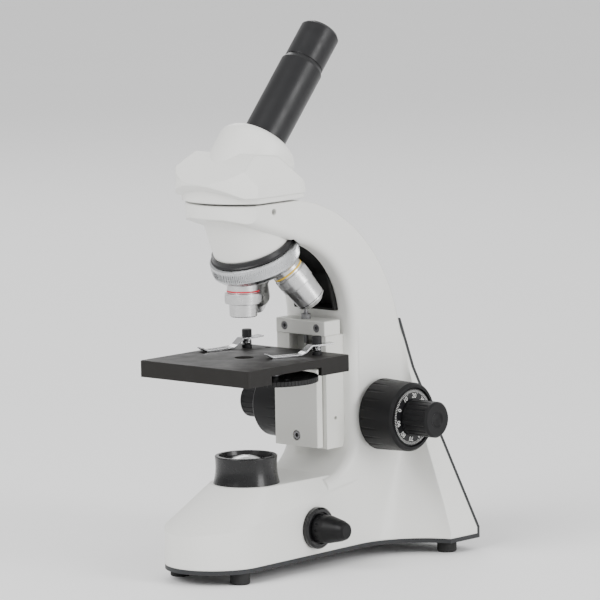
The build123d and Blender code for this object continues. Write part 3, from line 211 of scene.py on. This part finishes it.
def metal(name, colour, roughness, stretch=(1, 1, 1), radius=0.3 * MM, depth=0.01 * MM, grain=0.5 * MM):
    """Turned, ground or plated metal with a fine directional grain, handling marks and a painted highlight on its
    edges.
    """
    finish = Finish(name, colour, roughness, metallic=1.0)
    edge = finish.soft_edges(radius)
    finish.bump(finish.noise(grain, stretch=stretch), depth)
    base = finish.blend(finish.noise(0.008), shade(colour, 0.93), shade(colour, 1.04))
    # Edges painted lighter: a painted highlight.
    colour_out = finish.blend(edge, base, shade(colour, 1.15))
    return finish.done(colour_out, finish.spread(finish.noise(0.004, 5), roughness - 0.06, roughness + 0.1))


def plastic(name, colour, roughness, radius, grain, depth, coat=0.0, edge_sheen=1.5, specular=0.3):
    """Moulded plastic or rubber: fine spark texture and a painted sheen that makes its edges lighter."""
    finish = Finish(name, colour, roughness, coat=coat, specular=specular)
    edge = finish.soft_edges(radius)
    finish.bump(finish.noise(grain, 2), depth)
    base = finish.blend(finish.noise(0.01), shade(colour, 0.85), shade(colour, 1.2))
    # Edges painted lighter by the sheen factor: a painted sheen.
    colour_out = finish.blend(edge, base, shade(colour, edge_sheen))
    return finish.done(colour_out, finish.spread(finish.noise(0.005), roughness - 0.06, roughness + 0.08))


def glass(name, colour, roughness, alpha):
    """Coated optical glass with faint dust, kept a little opaque so that it reads as a lens."""
    finish = Finish(name, colour, roughness, coat=1.0)
    finish.shader.inputs["Alpha"].default_value = alpha
    finish.shader.inputs["IOR"].default_value = 1.52
    colour_out = finish.blend(finish.noise(0.003, 6), shade(colour, 0.9), colour)
    return finish.done(colour_out, finish.spread(finish.noise(0.002), roughness, roughness + 0.08))


WHITE = (0.80, 0.80, 0.77)
MATERIALS = {
    "cream_paint": paint("cream_paint", WHITE, 0.42, 1.6 * MM, 0.7 * MM, 0.02 * MM, coat=0.15),
    "guide_paint": paint("guide_paint", (0.74, 0.74, 0.70), 0.45, 0.5 * MM, 0.5 * MM, 0.015 * MM),
    "black_sheet": paint("black_sheet", (0.028, 0.029, 0.031), 0.5, 0.4 * MM, 0.5 * MM, 0.02 * MM,
                         specular=0.3),
    "tube_black": paint("tube_black", (0.010, 0.010, 0.011), 0.34, 0.5 * MM, 0.3 * MM, 0.006 * MM,
                        wear_and_highlight=(0.06, 0.06, 0.06), specular=0.35),
    "stage_black": paint("stage_black", (0.013, 0.012, 0.011), 0.5, 0.5 * MM, 0.35 * MM, 0.02 * MM,
                         wear_and_highlight=(0.07, 0.066, 0.062), specular=0.22),
    "black_metal": paint("black_metal", (0.010, 0.010, 0.011), 0.45, 0.4 * MM, 0.4 * MM, 0.01 * MM,
                         wear_and_highlight=(0.06, 0.06, 0.06), specular=0.3),
    "rubber": plastic("rubber", (0.018, 0.018, 0.018), 0.75, 0.6 * MM, 0.5 * MM, 0.04 * MM),
    "screw_steel": metal("screw_steel", (0.20, 0.20, 0.205), 0.36, grain=0.4 * MM),
    "shaft_steel": metal("shaft_steel", (0.60, 0.60, 0.61), 0.28, stretch=(0.1, 1, 1)),
    "bush_brass": metal("bush_brass", (0.72, 0.53, 0.26), 0.3),
    "chrome": metal("chrome", (0.50, 0.50, 0.51), 0.20, radius=0.2 * MM, depth=0.003 * MM),
    "turret_metal": metal("turret_metal", (0.52, 0.53, 0.54), 0.26, stretch=(1, 1, 6), depth=0.006 * MM),
    "objective_metal": metal("objective_metal", (0.58, 0.58, 0.58), 0.30, stretch=(1, 1, 6),
                             depth=0.006 * MM),
    "knob_black": plastic("knob_black", (0.006, 0.006, 0.0065), 0.42, 0.5 * MM, 0.5 * MM, 0.02 * MM,
                          specular=0.2),
    "dial_grey": plastic("dial_grey", (0.009, 0.009, 0.010), 0.32, 0.3 * MM, 0.4 * MM, 0.01 * MM),
    "eyepiece_black": plastic("eyepiece_black", (0.010, 0.010, 0.011), 0.34, 0.8 * MM, 0.3 * MM, 0.006 * MM,
                              specular=0.35),
    "gloss_black": plastic("gloss_black", (0.004, 0.004, 0.0045), 0.28, 0.6 * MM, 2.0 * MM, 0.01 * MM,
                           coat=0.25),
    "disc_plastic": plastic("disc_plastic", (0.008, 0.008, 0.008), 0.45, 0.3 * MM, 0.4 * MM, 0.01 * MM),
    "pot_shell": metal("pot_shell", (0.45, 0.46, 0.45), 0.4),
    "board": plastic("board", (0.75, 0.76, 0.72), 0.5, 0.2 * MM, 0.5 * MM, 0.01 * MM, edge_sheen=1.1),
    "led": glass("led", (0.95, 0.88, 0.45), 0.15, 1.0),
    "lens_glass": glass("lens_glass", (0.10, 0.13, 0.20), 0.04, 0.75),
    "collector_glass": glass("collector_glass", (0.72, 0.74, 0.73), 0.18, 1.0),
    "dial_white": plastic("dial_white", (0.80, 0.80, 0.78), 0.5, 0.1 * MM, 0.5 * MM, 0.005 * MM, edge_sheen=1.1),
    "band_red": plastic("band_red", (0.55, 0.02, 0.04), 0.35, 0.1 * MM, 0.5 * MM, 0.005 * MM, edge_sheen=1.2),
    "band_yellow": plastic("band_yellow", (0.75, 0.48, 0.03), 0.35, 0.1 * MM, 0.5 * MM, 0.005 * MM, edge_sheen=1.2),
    "band_blue": plastic("band_blue", (0.03, 0.14, 0.50), 0.35, 0.1 * MM, 0.5 * MM, 0.005 * MM, edge_sheen=1.2),
    # Near-black used as painted shade: in the recess liner and in the ring in the groove of the 10x objective.
    "painted_shade_black": plastic("painted_shade_black", (0.006, 0.006, 0.006), 0.6, 0.1 * MM, 0.5 * MM, 0.01 * MM),
}
for entry in frame["record"]["subparts"]:
    for slot in NODES[entry["node"]].material_slots:
        slot.material = MATERIALS[entry["material_slot"]]
# The recess liner, a black panel, is made darker still as painted shade in its recess.
for slot in NODES["recess_liner"].material_slots:
    slot.material = MATERIALS["painted_shade_black"]


# ---- Small raised detail ----------------------------------------------------------------------------
def piece(name, vertices, faces, material, body, smooth=False):
    """New mesh object that rides on a body."""
    mesh = bpy.data.meshes.new(name)
    mesh.from_pydata(vertices, [], faces)
    mesh.materials.append(MATERIALS[material])
    mesh.update()
    for polygon in mesh.polygons:
        polygon.use_smooth = smooth
    item = bpy.data.objects.new(name, mesh)
    bpy.context.collection.objects.link(item)
    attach(item, body)
    return item


def around(origin, axis):
    """Function that turns (radius, distance along the axis, angle) into a point."""
    axis = axis.normalized()
    across = axis.orthogonal().normalized()
    beside = axis.cross(across)

    def point(radius, distance, angle):
        return origin + axis * distance + (across * cos(angle) + beside * sin(angle)) * radius

    return point


def lathe(name, origin, axis, profile, material, body, segments=96):
    """Closed (radius, distance) outline turned about an axis."""
    point = around(origin, axis)
    count = len(profile)
    vertices = [point(r, s, tau * k / segments) for k in range(segments) for r, s in profile]
    faces = []
    for k in range(segments):
        first, second = k * count, (k + 1) % segments * count
        for i in range(count):
            j = (i + 1) % count
            faces.append((first + i, second + i, second + j, first + j))
    return piece(name, vertices, faces, material, body, smooth=True)


def ridges(name, origin, axis, line, count, lean, height, fill, material, body, steps=5):
    """Raised ridges along a turned surface, from the first to the last (radius, distance) of line.

    lean is how many ridge pitches each one moves round on its way, and fill is its share of a pitch.
    """
    point = around(origin, axis)
    (r0, s0), (r1, s1) = line
    half = pi / count * fill
    vertices = []
    faces = []
    for k in range(count):
        base = len(vertices)
        for step in range(steps + 1):
            share = step / steps
            angle = tau * (k + lean * share) / count
            radius = r0 + (r1 - r0) * share
            lift = height if 0 < step < steps else 0.0
            place = s0 + (s1 - s0) * share
            vertices.append(point(radius - 0.1 * MM, place, angle - half))
            vertices.append(point(radius + lift, place, angle))
            vertices.append(point(radius - 0.1 * MM, place, angle + half))
        for step in range(steps):
            a = base + 3 * step
            faces.append((a, a + 1, a + 4, a + 3))
            faces.append((a + 1, a + 2, a + 5, a + 4))
    return piece(name, vertices, faces, material, body)


def nosepiece_detail():
    """Slanted knurl on the turret ring."""
    line = [(RING_RADIUS, distance) for distance in RING_KNURL]
    ridges("turret_knurl", APEX, TURRET_AXIS, line, 120, 2.4, 0.40 * MM, 0.75, "turret_metal", "turret")


def objective_detail():
    """Knurls and colour bands of the three objectives, and a painted-shade ring in the groove of the 10x."""
    for name, (turn, band, (low, high), outer) in OBJECTIVES.items():
        axis = objective_axis(turn)
        profile = ((BAND_BORE, low), (outer, low), (outer, high), (BAND_BORE, high))
        lathe(f"band_{name}", APEX, axis, profile, band, "turret")
        if name == "4x":
            ridges("knurl_4x", APEX, axis, STRAIGHT_KNURL, 56, 0, 0.2 * MM, 0.7, "objective_metal", "turret")
            continue
        for lean, part in ((-3, "a"), (3, "b")):
            ridges(f"knurl_{name}_{part}", APEX, axis, CROSSED_KNURL, 80, lean, 0.14 * MM, 0.5,
                   "objective_metal", "turret")
    # A thin near-black ring in the groove of the 10x objective: painted shade.
    lathe("groove_shade_10x", APEX, objective_axis(OBJECTIVES["10x"][0]), GROOVE_SHADE_10X, "painted_shade_black", "turret")


def dial_ticks(side, label, origin, face):
    """A hundred flat marks round the edge of one dial, every tenth a little longer."""
    vertices = []
    faces = []
    for tick in range(TICKS):
        angle = tau * tick / TICKS
        inner = TICK_INNER if tick % 10 else LONG_TICK_INNER
        corners = ((inner, -TICK_HALF), (TICK_OUTER, -TICK_HALF), (TICK_OUTER, TICK_HALF), (inner, TICK_HALF))
        for radius, shift in corners:
            y = radius * cos(angle) - shift * sin(angle)
            z = radius * sin(angle) + shift * cos(angle)
            vertices.append(origin + Vector((face, y, z)))
        quad = list(range(4 * tick, 4 * tick + 4))
        faces.append(tuple(quad if side > 0 else reversed(quad)))
    piece(f"dial_ticks_{label}", vertices, faces, "dial_white", "fine_drive")


def dial_number(side, label, origin, face, number):
    """One number of a dial, its top away from the shaft."""
    angle = radians(DIAL_START - 36 * number * side)
    outward = Vector((0, cos(angle), sin(angle)))
    normal = Vector((side, 0, 0))
    text = bpy.data.curves.new(f"dial_number_{label}_{number}", "FONT")
    text.body = str(number * 10)
    text.size = NUMBER_SIZE
    text.extrude = NUMBER_THICKNESS
    text.align_x = "CENTER"
    text.align_y = "CENTER"
    text.materials.append(MATERIALS["dial_white"])
    item = bpy.data.objects.new(text.name, text)
    bpy.context.collection.objects.link(item)
    turn = Matrix((outward.cross(normal), outward, normal)).transposed().to_4x4()
    place = origin + normal * (abs(face) + NUMBER_THICKNESS) + outward * NUMBER_RADIUS
    item.matrix_world = Matrix.Translation(place) @ turn
    bpy.context.view_layer.update()
    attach(item, "fine_drive")


def dial_detail():
    """Ticks and plain numbers on both focus dials."""
    origin = Vector((0, SHAFT.y, SHAFT.z))
    for side, label in ((1, "right"), (-1, "left")):
        face = side * (DIAL_FACE + TICK_LIFT)
        dial_ticks(side, label, origin, face)
        for number in range(10):
            dial_number(side, label, origin, face, number)


def lamp_detail():
    """Ribbed inside of the illuminator collar."""
    axis = Vector((0, 0, 1))
    origin = Vector((0, AXIS_Y, 0))
    for rib in range(RIBS):
        low = COLLAR_TOP - RIB_DEPTH + rib * RIB_PITCH
        profile = ((RIB_FOOT, low), (RIB_CREST, low + RIB_HALF), (RIB_FOOT, low + 2 * RIB_HALF))
        lathe(f"collar_rib_{rib}", origin, axis, profile, "gloss_black", "stand")


nosepiece_detail()
objective_detail()
dial_detail()
lamp_detail()

# ---- Camera, lights and floor -----------------------------------------------------------------------
AZIMUTH = 0.728
PITCH = 0.129
ROLL = -0.017
DISTANCE = 3.5096
LENS = 321.6
SENSOR_WIDTH = 36
AIM_SIDE = 0.03719
AIM_HEIGHT = 0.17975
TARGET = Vector((cos(AZIMUTH) * AIM_SIDE, sin(AZIMUTH) * AIM_SIDE + AXIS_Y, AIM_HEIGHT))
FLOOR_REACH = 30
BRIGHT_SIDE = (0.62, 0.45, 0.64)
DIM, BRIGHT = 0.6, 1.1


def add_camera():
    """Camera that looks down a little at the dimmer side of the front."""
    forward = Vector((-sin(AZIMUTH) * cos(PITCH), cos(AZIMUTH) * cos(PITCH), -sin(PITCH)))
    level = Vector((cos(AZIMUTH), sin(AZIMUTH), 0))
    upright = level.cross(forward)
    right = cos(ROLL) * level + sin(ROLL) * upright
    up = cos(ROLL) * upright - sin(ROLL) * level
    data = bpy.data.cameras.new("camera")
    data.lens = LENS
    data.sensor_width = SENSOR_WIDTH
    data.clip_end = 50
    camera = bpy.data.objects.new("camera", data)
    turn = Matrix((right, up, -forward)).transposed().to_4x4()
    camera.matrix_world = Matrix.Translation(TARGET - forward * DISTANCE) @ turn
    bpy.context.collection.objects.link(camera)
    bpy.context.scene.camera = camera


def add_light(name, place, aim, size, power):
    """White rectangular lamp turned towards a point."""
    data = bpy.data.lights.new(name, "AREA")
    data.shape = "RECTANGLE"
    data.size, data.size_y = size
    data.energy = power
    light = bpy.data.objects.new(name, data)
    light.location = place
    light.rotation_euler = (Vector(aim) - Vector(place)).to_track_quat("-Z", "Y").to_euler()
    bpy.context.collection.objects.link(light)


def add_floor():
    """Plain pale floor under the feet."""
    finish = Finish("floor", (0.93, 0.93, 0.93), 0.7, specular=0.2)
    finish.bump(finish.noise(0.02), 0.02 * MM)
    material = finish.done(finish.blend(finish.noise(0.4), (0.92, 0.92, 0.92), (0.94, 0.94, 0.94)))
    mesh = bpy.data.meshes.new("floor")
    corners = [(x * FLOOR_REACH, y * FLOOR_REACH, 0) for x, y in ((-1, -1), (1, -1), (1, 1), (-1, 1))]
    mesh.from_pydata(corners, [], [(0, 1, 2, 3)])
    mesh.materials.append(material)
    floor = bpy.data.objects.new("floor", mesh)
    bpy.context.collection.objects.link(floor)


def add_world():
    """Soft white surroundings, brighter above and to the right of the camera."""
    world = bpy.data.worlds.new("studio")
    world.use_nodes = True
    tree = world.node_tree
    background = tree.nodes["Background"]
    background.inputs["Color"].default_value = (1, 1, 1, 1)
    direction = tree.nodes.new("ShaderNodeTexCoord").outputs["Generated"]
    dot = tree.nodes.new("ShaderNodeVectorMath")
    dot.operation = "DOT_PRODUCT"
    tree.links.new(direction, dot.inputs[0])
    dot.inputs[1].default_value = BRIGHT_SIDE
    span = tree.nodes.new("ShaderNodeMapRange")
    span.inputs["From Min"].default_value = -0.7
    span.inputs["From Max"].default_value = 0.8
    span.inputs["To Min"].default_value = DIM
    span.inputs["To Max"].default_value = BRIGHT
    tree.links.new(dot.outputs["Value"], span.inputs["Value"])
    tree.links.new(span.outputs["Result"], background.inputs["Strength"])
    bpy.context.scene.world = world


add_camera()
add_light("key", (-0.2, -2.2, 1.9), (0, 0, 0.15), (1.4, 1.4), 60)
add_light("side", (2.3, 0.2, 0.9), (0, 0, 0.18), (0.9, 1.6), 34)
add_light("rim", (-1.8, 1.4, 1.6), (0, 0, 0.2), (1.0, 1.0), 12)
add_floor()
add_world()
